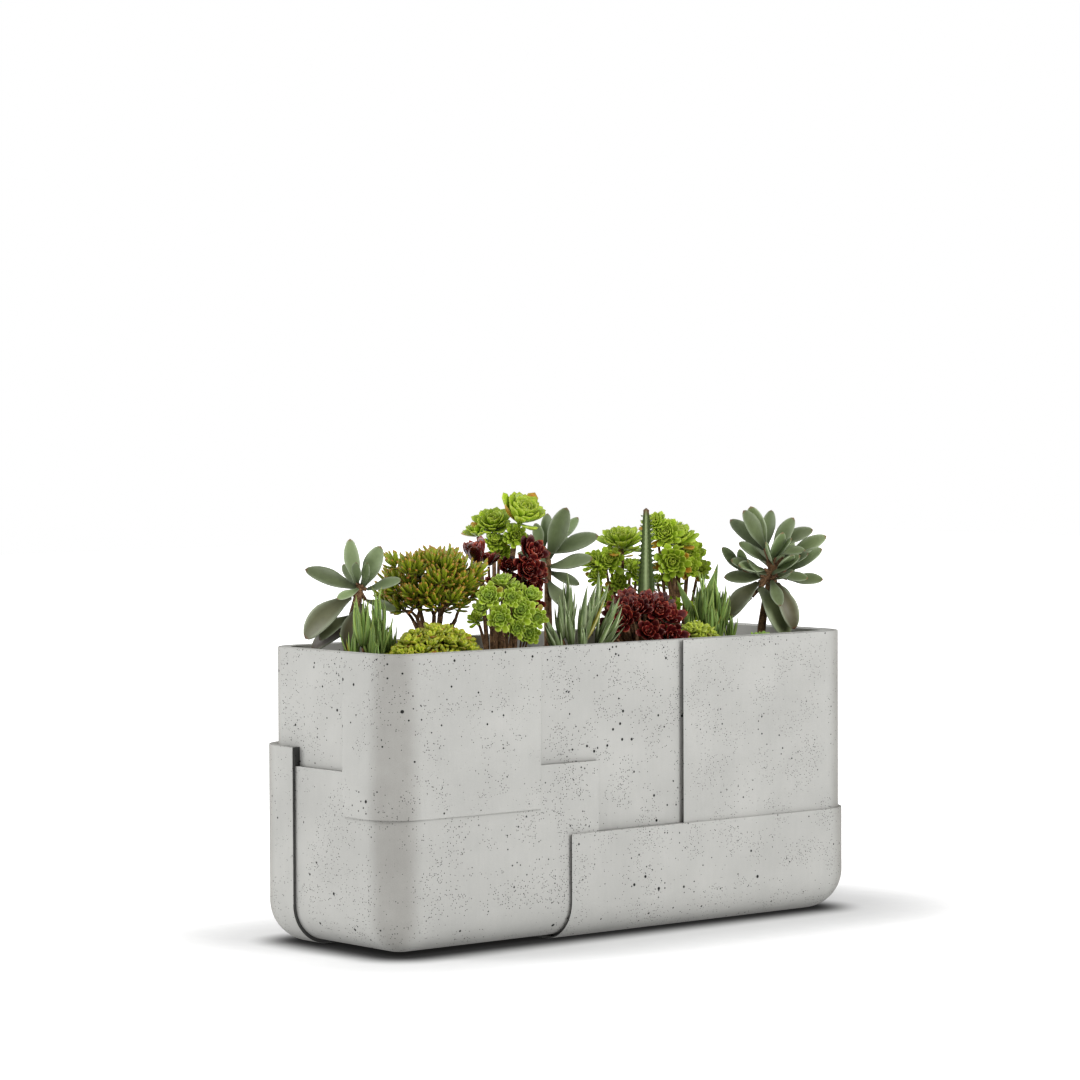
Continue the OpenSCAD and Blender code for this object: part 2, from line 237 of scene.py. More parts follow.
def leaf_frame(base, along, face):
    """Matrix that puts a leaf at base, growing along one direction with its upper face to another."""
    z = along.normalized()
    y = (face - z * face.dot(z)).normalized()
    turn = Matrix((y.cross(z), y, z)).transposed().to_4x4()
    return Matrix.Translation(base) @ turn


def fan_direction(from_upright, lean):
    """Direction in the fan that faces the light: degrees from upright, and degrees of lean to it."""
    side = math.radians(from_upright)
    out = math.radians(lean)
    flat = ACROSS * math.sin(side) + UP * math.cos(side)
    return flat * math.cos(out) + OUTLOOK * math.sin(out)


class Heap:
    """A growing mesh, kept in small parts because an operator's time grows with its mesh."""

    spheres = {}

    def __init__(self):
        self.parts = []
        self.start()

    def sphere(self, around, rings):
        """Adds a unit sphere and returns its points; each size of sphere is made once."""
        key = (around, rings)
        if key not in Heap.spheres:
            mesh = bmesh.new()
            bmesh.ops.create_uvsphere(mesh, u_segments=around, v_segments=rings, radius=1.0)
            Heap.spheres[key] = bpy.data.meshes.new("sphere")
            mesh.to_mesh(Heap.spheres[key])
            mesh.free()
        if len(self.mesh.verts) > FULL_PART:
            self.close()
            self.start()
        self.mesh.from_mesh(Heap.spheres[key])
        self.mesh.verts.ensure_lookup_table()
        return self.mesh.verts[-len(Heap.spheres[key].vertices):]

    def start(self):
        """Opens an empty part."""
        self.mesh = bmesh.new()
        self.tone = self.mesh.verts.layers.float_color.new("tone")

    def close(self):
        """Puts the open part away."""
        data = bpy.data.meshes.new("part")
        self.mesh.to_mesh(data)
        self.mesh.free()
        self.parts.append(data)

    def joined(self):
        """All parts as one mesh."""
        self.close()
        whole = bmesh.new()
        whole.verts.layers.float_color.new("tone")
        for data in self.parts:
            whole.from_mesh(data)
            bpy.data.meshes.remove(data)
        return whole


class Plant:
    """Leaves and stems of one plant, in the place of its CAD node."""

    def __init__(self, node, seed):
        low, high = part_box(node)
        self.node = node
        self.foot = Vector(((low.x + high.x) / 2, (low.y + high.y) / 2, SOIL_TOP))
        self.top = high.z
        self.root_low = low.z
        self.rng = random.Random(seed)
        self.leaves = Heap()
        self.stems = Heap()

    def at(self, across, depth, height):
        """A point given in mm from the plant's foot on the soil."""
        return self.foot + Vector((across, depth, height)) * MM

    def leaf(self, shape, matrix, length, curl, age, wide=1.0):
        """Adds one leaf; age runs from 0, outermost, to 1, innermost."""
        chance = self.rng.random()
        sized = matrix @ Matrix.Diagonal((length * wide, length, length, 1))
        for vert in self.leaves.sphere(shape.around, shape.rings):
            place, along, edge = shape.place(vert.co, curl)
            vert.co = sized @ place
            vert[self.leaves.tone] = (along, edge, chance, age)

    def stem(self, points, thick, thin):
        """Adds a closed stem through the points, tapering from one radius to another."""
        count = len(points)
        chance = self.rng.random()
        side = Vector((1, 0, 0))
        frames = []
        for index, point in enumerate(points):
            ahead = points[min(index + 1, count - 1)] - points[max(index - 1, 0)]
            frames.append(leaf_frame(point, ahead, side))
            side = frames[-1].col[1].to_3d()
        for vert in self.stems.sphere(8, count + 1):
            ring = round(from_pole(vert.co) * (count + 1))
            index = min(max(ring - 1, 0), count - 1)
            part = index / max(count - 1, 1)
            radius = (thick + (thin - thick) * part) * (1 + 0.10 * self.rng.uniform(-1, 1))
            flat = math.hypot(vert.co.x, vert.co.y)
            if flat < TINY:
                vert.co = frames[index].translation
            else:
                local = Vector((vert.co.x / flat * radius, vert.co.y / flat * radius, 0))
                vert.co = frames[index] @ local
            vert[self.stems.tone] = (part, 0, chance, 0)

    def branch(self, start, end, thick, thin, lift=0.45, steps=7):
        """Adds a stem that leaves start steeply and bends over to end."""
        bend = start.lerp(end, 0.25)
        bend.z = start.z + (end.z - start.z) * lift + 0.1 * (end - start).length
        points = []
        for step in range(steps):
            part = step / (steps - 1)
            points.append(start.lerp(bend, part).lerp(bend.lerp(end, part), part))
        self.stem(points, thick, thin)

    def rosette(self, centre, axis, radius, count, shape, flare=78, tight=10, wide=1.0):
        """Adds a rosette whose leaves follow the golden angle from the outside in."""
        spin = UP.rotation_difference(axis.normalized()).to_matrix().to_4x4()
        turn = self.rng.uniform(0, math.tau)
        for index in range(count):
            part = index / (count - 1)
            tilt = math.radians(flare + (tight - flare) * part ** 0.85 + self.rng.uniform(-5, 5))
            length = radius * (1.04 - 0.55 * part) * self.rng.uniform(0.9, 1.08)
            out = heading_out(turn + index * GOLDEN_ANGLE)
            along = out * math.sin(tilt) + UP * math.cos(tilt)
            face = UP * math.sin(tilt) - out * math.cos(tilt)
            base = out * radius * 0.06 * (1 - part) + UP * radius * (0.16 * part - 0.10)
            matrix = Matrix.Translation(centre) @ spin @ leaf_frame(base, along, face)
            self.leaf(shape, matrix, length, self.rng.uniform(0.10, 0.55), part, wide)

    def root_ball(self, radius):
        """Adds the ball of roots in the soil."""
        depth = SOIL_TOP - self.root_low
        for vert in self.stems.sphere(20, 14):
            high = max(-1.0, min(1.0, vert.co.z * 1.5))
            flat = Vector((vert.co.x, vert.co.y)).normalized() if abs(vert.co.z) < 0.999 else Vector((0, 0))
            narrow = min(1.0, math.sqrt(max(0.0, 1 - vert.co.z ** 2)) * 1.6)
            rough = 0.92 + 0.07 * noise.noise(vert.co * 5)
            spot = flat * radius * narrow * rough
            vert.co = Vector((
                self.foot.x + spot.x, self.foot.y + spot.y,
                SOIL_TOP - depth / 2 + high * (depth / 2 - 1.2 * MM),
            ))
            vert[self.stems.tone] = (0, 0, 0.5, 1)

    def finish(self, slot, leaf_finish):
        """Makes the leaves and the stems into two pieces that stand for the plant's node."""
        for part, heap, finish in (("leaves", self.leaves, leaf_finish), ("stems", self.stems, bark())):
            piece = new_piece(f"{self.node}_{part}", heap.joined(), finish)
            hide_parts(self.node)


def new_piece(name, mesh, finish):
    """Turns a bmesh into a smooth piece that rides on the planter."""
    data = bpy.data.meshes.new(name)
    mesh.to_mesh(data)
    mesh.free()
    data.shade_smooth()
    data.materials.append(finish)
    piece = bpy.data.objects.new(name, data)
    bpy.context.scene.collection.objects.link(piece)
    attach(piece, "root")
    return piece


# Materials


class Graph:
    """Short way of adding linked shader nodes to a node tree."""

    def __init__(self, tree):
        self.tree = tree

    def feed(self, node, inputs):
        """Gives a node's inputs, by socket name or number, a value or an output socket."""
        for key, value in inputs.items():
            if isinstance(value, bpy.types.NodeSocket):
                self.tree.links.new(value, node.inputs[key])
            else:
                node.inputs[key].default_value = value

    def add(self, kind, inputs=None, **settings):
        """Adds a shader node of a kind with its settings and inputs."""
        node = self.tree.nodes.new("ShaderNode" + kind)
        for key, value in settings.items():
            setattr(node, key, value)
        self.feed(node, inputs or {})
        return node

    def place(self):
        """The place on the object."""
        return self.add("TexCoord").outputs["Object"]

    def math(self, operation, first, second=0.0):
        """One sum on two values."""
        return self.add("Math", {0: first, 1: second}, operation=operation).outputs[0]

    def vector(self, operation, first, second=(0.0, 0.0, 0.0), output="Vector"):
        """One sum on two vectors."""
        return self.add("VectorMath", {0: first, 1: second}, operation=operation).outputs[output]

    def total(self, start, *terms):
        """A start value and each term's value times its weight, added up."""
        for value, weight in terms:
            start = self.math("ADD", start, self.math("MULTIPLY", value, weight))
        return start

    def ramp(self, value, low, high, to_low=0.0, to_high=1.0):
        """Maps a value smoothly from one range to another."""
        inputs = {"Value": value, "From Min": low, "From Max": high, "To Min": to_low, "To Max": to_high}
        return self.add("MapRange", inputs, interpolation_type="SMOOTHSTEP").outputs[0]

    def mix(self, factor, first, second, blend="MIX"):
        """Mixes two colours."""
        inputs = {0: factor, 6: first, 7: second}
        return self.add("Mix", inputs, data_type="RGBA", blend_type=blend).outputs[2]

    def noise(self, vector, scale, detail=2.0, roughness=0.5):
        """Soft noise from 0 to 1."""
        inputs = {"Vector": vector, "Scale": scale, "Detail": detail, "Roughness": roughness}
        return self.add("TexNoise", inputs).outputs[0]

    def bump(self, shader, height, strength, distance):
        """Feeds a height into the shader's normal."""
        node = self.add("Bump", {"Height": height, "Strength": strength, "Distance": distance})
        self.feed(shader, {"Normal": node.outputs[0]})


def tint(colour, gain=1.0):
    """A colour made brighter or darker, with full cover."""
    return tuple(min(1.0, part * gain) for part in colour) + (1.0,)


def grey(level):
    """A neutral colour."""
    return (level, level, level, 1.0)


def new_group(name, inputs, outputs):
    """An empty node group; returns it with its graph, its inputs and its output node."""
    group = bpy.data.node_groups.new(name, "ShaderNodeTree")
    for in_out, sockets in (("INPUT", inputs), ("OUTPUT", outputs)):
        for label, kind in sockets.items():
            group.interface.new_socket(name=label, in_out=in_out, socket_type="NodeSocket" + kind)
    given = group.nodes.new("NodeGroupInput").outputs
    return group, Graph(group), given, group.nodes.new("NodeGroupOutput")


def beyond_core(graph, place):
    """How far a place lies beyond the straight walls' core, along X and along Y."""
    core = (TUB_HIGH.x - CORNER_R, TUB_HIGH.y - CORNER_R, FAR_UP)
    past = graph.vector("SUBTRACT", graph.vector("ABSOLUTE", place), core)
    return graph.vector("MAXIMUM", past)


def pores_group():
    """Open air bubbles: a mask of round holes that come in clusters."""
    labels = {"Vector": "Vector"} | dict.fromkeys(("Cells", "Radius", "Share", "Cluster Scale"), "Float")
    group, graph, given, result = new_group("Air bubbles", labels, {"Mask": "Float"})
    holes = graph.add("TexVoronoi", {"Vector": given["Vector"], "Scale": given["Cells"]})
    parts = graph.add("SeparateColor", {0: holes.outputs["Color"]}).outputs
    cluster = graph.noise(given["Vector"], given["Cluster Scale"], 1.0)
    crowd = graph.ramp(cluster, 0.40, 0.66, 0.08, 2.0)
    present = graph.math("LESS_THAN", parts[0], graph.math("MULTIPLY", given["Share"], crowd))
    size = graph.math("MULTIPLY", given["Radius"], graph.math("ADD", parts[1], 0.35))
    hole = graph.ramp(graph.math("DIVIDE", holes.outputs["Distance"], size), 0.70, 1.0, 1.0, 0.0)
    graph.feed(result, {"Mask": graph.math("MULTIPLY", hole, present)})
    return group


def mottle_group():
    """Slow clouds, fine vertical brushing and grain, as values around zero."""
    labels = {"Cloud": "Float", "Brushing": "Float", "Grain": "Float"}
    group, graph, given, result = new_group("Cast clouds", {"Vector": "Vector"}, labels)
    vector = given["Vector"]
    tall = graph.add("Mapping", {"Vector": vector, "Scale": (1.0, 1.0, 0.08)}).outputs[0]
    for label, place, scale, detail in (
        ("Cloud", vector, 7.0, 4.0), ("Brushing", tall, 210.0, 3.0), ("Grain", vector, 900.0, 2.0),
    ):
        value = graph.noise(place, scale, detail, 0.6)
        graph.feed(result, {label: graph.math("SUBTRACT", value, 0.5)})
    return group


def leaf_group():
    """Leaf colour from the tone attribute: place along, edge, chance and age."""
    labels = dict.fromkeys(LEAF_COLOURS, "Color") | dict.fromkeys(LEAF_AMOUNTS, "Float")
    group, graph, given, result = new_group("Leaf skin", labels, {"Color": "Color", "Height": "Float"})
    tone = graph.add("Attribute", attribute_name="tone", attribute_type="GEOMETRY")
    along, edge, chance = graph.add("SeparateColor", {0: tone.outputs["Color"]}).outputs
    age = tone.outputs["Alpha"]
    place = graph.place()
    blotch = graph.noise(place, 90.0, 3.0, 0.6)
    skin = graph.mix(age, given["Body"], given["Young"])
    withered = graph.math("LESS_THAN", graph.total(chance, (age, 1.6)), given["Old Share"])
    fade = graph.math("MULTIPLY", withered, graph.ramp(blotch, 0.2, 0.6, 0.5, 1.0))
    skin = graph.mix(fade, skin, given["Old"])
    rim = graph.math("MULTIPLY", graph.math("POWER", edge, 1.6), given["Edge Amount"])
    skin = graph.mix(rim, skin, given["Edge"])
    reach = graph.math("MULTIPLY", graph.ramp(along, given["Tip Start"], 1.0), given["Tip Amount"])
    end = graph.math("MULTIPLY", reach, graph.ramp(blotch, 0.25, 0.6, 0.5, 1.0))
    skin = graph.mix(end, skin, given["Tip"])
    swing = graph.math("MULTIPLY", graph.math("SUBTRACT", chance, 0.5), given["Variety"])
    swing = graph.total(swing, (graph.math("SUBTRACT", blotch, 0.5), 0.5))
    # Painted shade: each leaf is darker towards its base, inside its rosette or tuft, and the column is
    # darker towards its foot
    base_shade = graph.ramp(along, 0.0, 0.45, 0.45, 1.0)
    bright = graph.math("MULTIPLY", graph.math("ADD", swing, 1.0), base_shade)
    shade = graph.add("HueSaturation", {"Color": skin, "Value": bright}).outputs[0]
    graph.feed(result, {"Color": shade, "Height": graph.noise(place, 500.0, 2.0, 0.6)})
    return group


def new_material(name, **inputs):
    """A Principled material; returns it with its graph and shader."""
    material = bpy.data.materials.new(name)
    material.use_nodes = True
    graph = Graph(material.node_tree)
    shader = material.node_tree.nodes["Principled BSDF"]
    graph.feed(shader, {label.replace("_", " "): value for label, value in inputs.items()})
    return material, graph, shader


def concrete_material(name, colour, amount, pores, mottle):
    """Cast concrete with pinholes, a few larger air bubbles, clouds and fine brushing, and painted shade on
    its rounded corners.
    """
    material, graph, shader = new_material(name, Specular_IOR_Level=0.3)
    place = graph.place()
    clouds = graph.add("Group", {"Vector": place}, node_tree=mottle).outputs
    dark = 0.0
    for cells, radius, share, cluster in BUBBLES:
        inputs = {"Cells": cells, "Radius": radius, "Share": share * amount, "Cluster Scale": cluster}
        holes = graph.add("Group", {"Vector": place, **inputs}, node_tree=pores)
        dark = graph.math("MAXIMUM", dark, holes.outputs["Mask"])
    level = graph.total(0.5, (clouds["Cloud"], 1.3), (clouds["Brushing"], 0.22), (clouds["Grain"], 0.9))
    skin = graph.mix(level, tint(colour, 0.84), tint(colour, 1.14))
    # Painted shade: the rounded vertical corners are darkened, patchily with the clouds
    beyond = graph.add("SeparateXYZ", {0: beyond_core(graph, place)}).outputs
    corner = graph.ramp(graph.math("MINIMUM", beyond[0], beyond[1]), 3 * MM, 36 * MM)
    stain_and_shade = graph.math("MULTIPLY", corner, graph.ramp(clouds["Cloud"], -0.3, 0.3, 1.0, 0.7))
    skin = graph.mix(stain_and_shade, skin, CORNER_SHADE, "MULTIPLY")
    # The air bubbles are painted nearly black: painted shade inside holes that are only a bump
    skin = graph.mix(dark, skin, tint(colour, 0.03))
    rough = graph.ramp(clouds["Cloud"], -0.3, 0.3, 0.72, 0.9)
    graph.feed(shader, {"Base Color": skin, "Roughness": rough})
    height = graph.total(0.0, (dark, -1.0), (clouds["Grain"], 0.18), (clouds["Brushing"], 0.12))
    graph.bump(shader, height, 0.6, 0.8 * MM)
    return material


def leaf_material(name, roughness, colours, amounts, coat=0.0):
    """Skin of one kind of leaf, with the colours and the amounts that the group lists."""
    group = bpy.data.node_groups.get("Leaf skin") or leaf_group()
    material, graph, shader = new_material(
        name, Roughness=roughness, Specular_IOR_Level=0.36, Coat_Weight=coat, Coat_Roughness=0.25
    )
    inputs = dict(zip(LEAF_COLOURS, map(tint, colours))) | dict(zip(LEAF_AMOUNTS, amounts))
    node = graph.add("Group", inputs, node_tree=group)
    graph.feed(shader, {"Base Color": node.outputs["Color"]})
    graph.bump(shader, node.outputs["Height"], 0.12, 0.6 * MM)
    return material


def earthy_material(name, dark, light, scale, depth, roughness=0.9):
    """Rough natural stuff, such as bark, soil, roots, fleece or stones."""
    material, graph, shader = new_material(name, Roughness=roughness, Specular_IOR_Level=0.25)
    place = graph.place()
    coarse = graph.noise(place, scale, 4.0, 0.65)
    fine = graph.noise(place, scale * 6, 2.0, 0.6)
    level = graph.ramp(graph.total(coarse, (fine, 0.5)), 0.5, 1.0)
    graph.feed(shader, {"Base Color": graph.mix(level, tint(dark), tint(light))})
    graph.bump(shader, graph.math("ADD", coarse, fine), 0.8, depth)
    return material


def metal_material(name, colour, roughness):
    """Plain metal with a fine uneven sheen."""
    material, graph, shader = new_material(name, Metallic=1.0)
    stain_and_shade = graph.noise(graph.place(), 300.0, 3.0, 0.6)
    skin = graph.mix(stain_and_shade, tint(colour, 0.7), tint(colour))
    sheen = graph.ramp(stain_and_shade, 0.3, 0.7, roughness - 0.1, roughness + 0.15)
    graph.feed(shader, {"Base Color": skin, "Roughness": sheen})
    return material


def bark():
    """Brown bark, made once."""
    return bpy.data.materials.get("stem_bark") or earthy_material(
        "stem_bark", (0.050, 0.022, 0.010), (0.30, 0.17, 0.085), 130, 1.2 * MM, 0.8
    )


# Concrete


def skin_gap(point):
    """Distance of a point outwards from the tub's outer skin."""
    across = abs(point.x) - (TUB_HIGH.x - CORNER_R)
    base_shade = abs(point.y) - (TUB_HIGH.y - CORNER_R)
    flat = math.hypot(max(across, 0.0), max(base_shade, 0.0)) + min(max(across, base_shade), 0.0) - CORNER_R
    below = TUB_LOW.z + FOOT_R - point.z
    if below <= 0:
        return flat
    return math.hypot(max(flat + FOOT_R, 0.0), below) - FOOT_R


def rounded_copy(node, name, finish, width, wanted, shade=None, shaded=None):
    """A merged copy of a CAD node with its wanted sharp edges rounded and some faces shaded."""
    mesh = bmesh.new()
    mesh.from_mesh(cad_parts[node].data)
    bmesh.ops.remove_doubles(mesh, verts=mesh.verts, dist=0.01 * MM)
    bmesh.ops.dissolve_limit(mesh, angle_limit=math.radians(0.4), verts=mesh.verts, edges=mesh.edges)
    edges = [
        edge for edge in mesh.edges
        if len(edge.link_faces) == 2 and edge.calc_face_angle(0.0) > SHARP and wanted(edge)
    ]
    bmesh.ops.bevel(
        mesh, geom=edges, offset=width, offset_type="OFFSET", segments=2, profile=0.5,
        affect="EDGES", clamp_overlap=False, material=-1,
    )
    if shaded:
        mesh.normal_update()
        for face in mesh.faces:
            face.material_index = 1 if shaded(face) else 0
    piece = new_piece(name, mesh, finish)
    if shaded:
        piece.data.materials.append(shade)
    fair = piece.modifiers.new("Even shading", "WEIGHTED_NORMAL")
    fair.keep_sharp = False
    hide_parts(node)
    return piece


# Settings


def colour_property(name, description, default):
    """A colour setting."""
    return FloatVectorProperty(
        name=name, description=description, default=default, subtype="COLOR", size=3, min=0, max=1
    )


def number_property(name, description, default, **kind):
    """A number setting of a kind."""
    return FloatProperty(name=name, description=description, default=default, **kind)


def length_property(name, description, default):
    """A length setting."""
    return number_property(name, description, default, unit="LENGTH")


class PlanterConcreteSettings(PropertyGroup):
    """Sizes and colours of the concrete."""

    colour: colour_property("Concrete", "Colour of the cast concrete", (0.425, 0.424, 0.404))
    edge: length_property("Slab edge", "Rounding of the slab edges", 0.8 * MM)
    lip: length_property("Lip edge", "Rounding of the upper corner slab's lip", 2.4 * MM)
    rim: length_property("Rim edge", "Rounding of the tub's rim", 1.5 * MM)
    bubbles: number_property("Air bubbles", "How many air bubbles show", 1.0, min=0, max=2)


class PlanterPlantSettings(PropertyGroup):
    """Colours of the plants."""

    grey_leaf: colour_property("Paddle leaf", "Colour of the paddle leaves", (0.150, 0.200, 0.088))
    blue_leaf: colour_property("Finger leaf", "Colour of the finger leaves", (0.140, 0.235, 0.050))
    lime_leaf: colour_property("Aeonium", "Colour of the green aeoniums", (0.300, 0.440, 0.022))
    wine_leaf: colour_property("Dark aeonium", "Colour of the dark aeoniums", (0.048, 0.004, 0.005))
    olive_leaf: colour_property("Jelly leaf", "Colour of the jelly shrub", (0.230, 0.290, 0.014))
    gold_leaf: colour_property("Stonecrop", "Colour of the gold stonecrop", (0.370, 0.450, 0.024))
    seed: IntProperty(name="Seed", description="Changes how the leaves fall", default=7, min=0)


class PlanterStageSettings(PropertyGroup):
    """Camera and light."""

    turn: number_property(
        "Camera turn", "Angle of the camera from the front to the left", math.radians(39.68), subtype="ANGLE"
    )
    rise: number_property(
        "Camera rise", "Angle of the camera above the horizon", math.radians(2.11), subtype="ANGLE"
    )
    roll: number_property("Camera roll", "Tilt of the picture", math.radians(-0.24), subtype="ANGLE")
    distance: length_property("Camera distance", "Distance from the camera to its aim", 6.454)
    lens: number_property("Lens", "Focal length", 127.6, subtype="DISTANCE_CAMERA")
    front_light: number_property("Front light", "Power of the light before the planter", 106.0, unit="POWER")
    side_light: number_property("Side light", "Power of the light beside the planter", 72.0, unit="POWER")
    sky: number_property("Sky", "Brightness of the white surroundings", 0.62, min=0)


# Operators


class PLANTER_OT_stage(Operator):
    """Add the floor, the lights and the camera"""

    bl_idname = "planter.stage"
    bl_label = "Add stage"

    def execute(self, context):
        scene = context.scene
        settings = scene.planter_stage
        self.camera(scene, settings)
        self.floor(scene)
        self.lights(scene, settings)
        scene.view_settings.view_transform = "Standard"
        return {"FINISHED"}

    def camera(self, scene, settings):
        """The camera looks at the planter from in front of its left corner."""
        aim = Vector((-50.5 * MM, 0, 653.0 * MM))
        back = Vector((
            -math.sin(settings.turn) * math.cos(settings.rise),
            -math.cos(settings.turn) * math.cos(settings.rise),
            math.sin(settings.rise),
        ))
        right = UP.cross(back).normalized()
        over = back.cross(right)
        tilted = right * math.cos(settings.roll) + over * math.sin(settings.roll)
        upright = over * math.cos(settings.roll) - right * math.sin(settings.roll)
        data = bpy.data.cameras.new("camera")
        data.lens = settings.lens
        data.sensor_width = 36.0
        data.clip_end = 60.0
        camera = bpy.data.objects.new("camera", data)
        camera.matrix_world = Matrix.Translation(aim + back * settings.distance) @ Matrix(
            (tilted, upright, back)
        ).transposed().to_4x4()
        scene.collection.objects.link(camera)
        scene.camera = camera

    def floor(self, scene):
        """A plain pale floor with a painted dark shadow under the planter, glowing white further away."""
        mesh = bmesh.new()
        bmesh.ops.create_grid(mesh, x_segments=2, y_segments=2, size=14.0)
        data = bpy.data.meshes.new("floor")
        mesh.to_mesh(data)
        mesh.free()
        material, graph, shader = new_material("floor", Roughness=0.9, Specular_IOR_Level=0.0)
        place = graph.place()
        shade = graph.mix(graph.noise(place, 30.0, 2.0), grey(0.78), grey(0.82))
        away = graph.vector("LENGTH", beyond_core(graph, place), output="Value")
        # Painted shadow: the floor's colour turns dark grey under and just around the planter's footprint
        out_of_shadow = graph.ramp(away, CORNER_R - 30 * MM, CORNER_R + 60 * MM)
        shade = graph.mix(out_of_shadow, grey(FLOOR_SHADOW_GREY), shade)
        seen = graph.add("LightPath").outputs["Is Camera Ray"]
        # Painted light: the floor glows, for the camera white away from the planter, and for other rays
        # evenly, lighting the planter from below
        glow = graph.mix(seen, grey(FLOOR_GLOW), graph.ramp(away, *GLOW_REACH))
        graph.feed(shader, {"Base Color": shade, "Emission Color": glow, "Emission Strength": 1.0})
        data.materials.append(material)
        floor = bpy.data.objects.new("floor", data)
        scene.collection.objects.link(floor)

    def lights(self, scene, settings):
        """Two large soft lights in white surroundings that are darker behind the camera."""
        for name, spot, power in (
            ("light_front", (0.6, -3.8, 2.0), settings.front_light),
            ("light_left", (-3.4, 2.0, 2.0), settings.side_light),
        ):
            data = bpy.data.lights.new(name, "AREA")
            data.shape = "RECTANGLE"
            data.size = 1.6
            data.size_y = 2.2
            data.energy = power
            light = bpy.data.objects.new(name, data)
            turn = (Vector((0, 0, 0.45)) - Vector(spot)).to_track_quat("-Z", "Y")
            light.matrix_world = Matrix.Translation(spot) @ turn.to_matrix().to_4x4()
            scene.collection.objects.link(light)
        world = bpy.data.worlds.new("studio")
        world.use_nodes = True
        graph = Graph(world.node_tree)
        toward = graph.add("TexCoord").outputs["Generated"]
        level = settings.sky
        to_right = Vector((1, -0.45, 0))
        for heading, start, depth in ((OUTLOOK, 0.50, 0.85), (to_right, -0.1, 1.0), (UP, 0.0, -1.0)):
            facing = graph.vector("DOT_PRODUCT", toward, heading.normalized(), "Value")
            level = graph.math("MULTIPLY", level, graph.ramp(facing, start, 1.0, 1.0, 1.0 - depth))
        seen = graph.add("LightPath").outputs["Is Camera Ray"]
        strength = graph.math("MAXIMUM", level, seen)
        graph.feed(world.node_tree.nodes["Background"], {"Color": grey(1.0), "Strength": strength})
        scene.world = world


class PLANTER_OT_concrete(Operator):
    """Add the concrete tub and its five slabs with rounded edges"""

    bl_idname = "planter.concrete"
    bl_label = "Add concrete"

    def execute(self, context):
        settings = context.scene.planter_concrete
        groups = (pores_group(), mottle_group())
        finish = concrete_material("cast_concrete", settings.colour, settings.bubbles, *groups)
        # Edge faces of three slabs that face away from the lights get a dark copy of the concrete: painted
        # shade in the gaps between the slabs
        shaded_edge_finish = concrete_material(
            "painted_shade_edge", [part * EDGE_SHADE for part in settings.colour], settings.bubbles, *groups
        )
        rim = TUB_HIGH.z - 0.5 * MM

        def on_rim(edge):
            return all(vert.co.z > rim for vert in edge.verts)

        def outside(edge):
            return all(skin_gap(vert.co) > 1.2 * MM for vert in edge.verts)

        def to_left(face):
            return face.normal.x < -0.9 and face.calc_center_median().x > TUB_LOW.x / 2

        def to_front(face):
            return face.normal.y < -0.9

        rounded_copy("tub", "concrete_tub", finish, settings.rim, on_rim)
        rounded_copy("upper_corner_slab", "concrete_upper_corner", finish, settings.lip, outside)
        rounded_copy("lower_corner_slab", "concrete_lower_corner", finish, settings.edge, outside)
        for node, dark in (("strap_slab", to_front), ("upper_side_slab", to_left), ("lower_band", to_left)):
            rounded_copy(node, f"concrete_{node}", finish, settings.edge, outside, shaded_edge_finish, dark)
        return {"FINISHED"}


class PLANTER_OT_fittings(Operator):
    """Give the screws, inserts, drain screens, gravel and fleece their finishes"""

    bl_idname = "planter.fittings"
    bl_label = "Finish fittings"

    def execute(self, context):
        finishes = {
            "slab_screws": metal_material("stainless_screws", (0.62, 0.62, 0.60), 0.32),
            "slab_inserts": metal_material("brass_inserts", (0.75, 0.52, 0.22), 0.35),
        }
        for node, name, dark, light, scale, depth in (
            ("drain_screens", "moulded_screen", (0.02, 0.02, 0.02), (0.04, 0.04, 0.04), 200, 0.1),
            ("drainage_gravel", "wet_gravel", (0.06, 0.055, 0.05), (0.34, 0.31, 0.27), 70, 5),
            ("filter_fleece", "felted_fleece", (0.45, 0.45, 0.43), (0.72, 0.72, 0.69), 260, 1),
            ("growing_medium", "potting_soil", (0.012, 0.008, 0.005), (0.09, 0.06, 0.04), 120, 3),
        ):
            finishes[node] = earthy_material(name, dark, light, scale, depth * MM)
        for node, finish in finishes.items():
            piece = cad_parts[node]
            if not piece.material_slots:
                piece.data.materials.append(finish)
            for slot in piece.material_slots:
                slot.material = finish
        return {"FINISHED"}


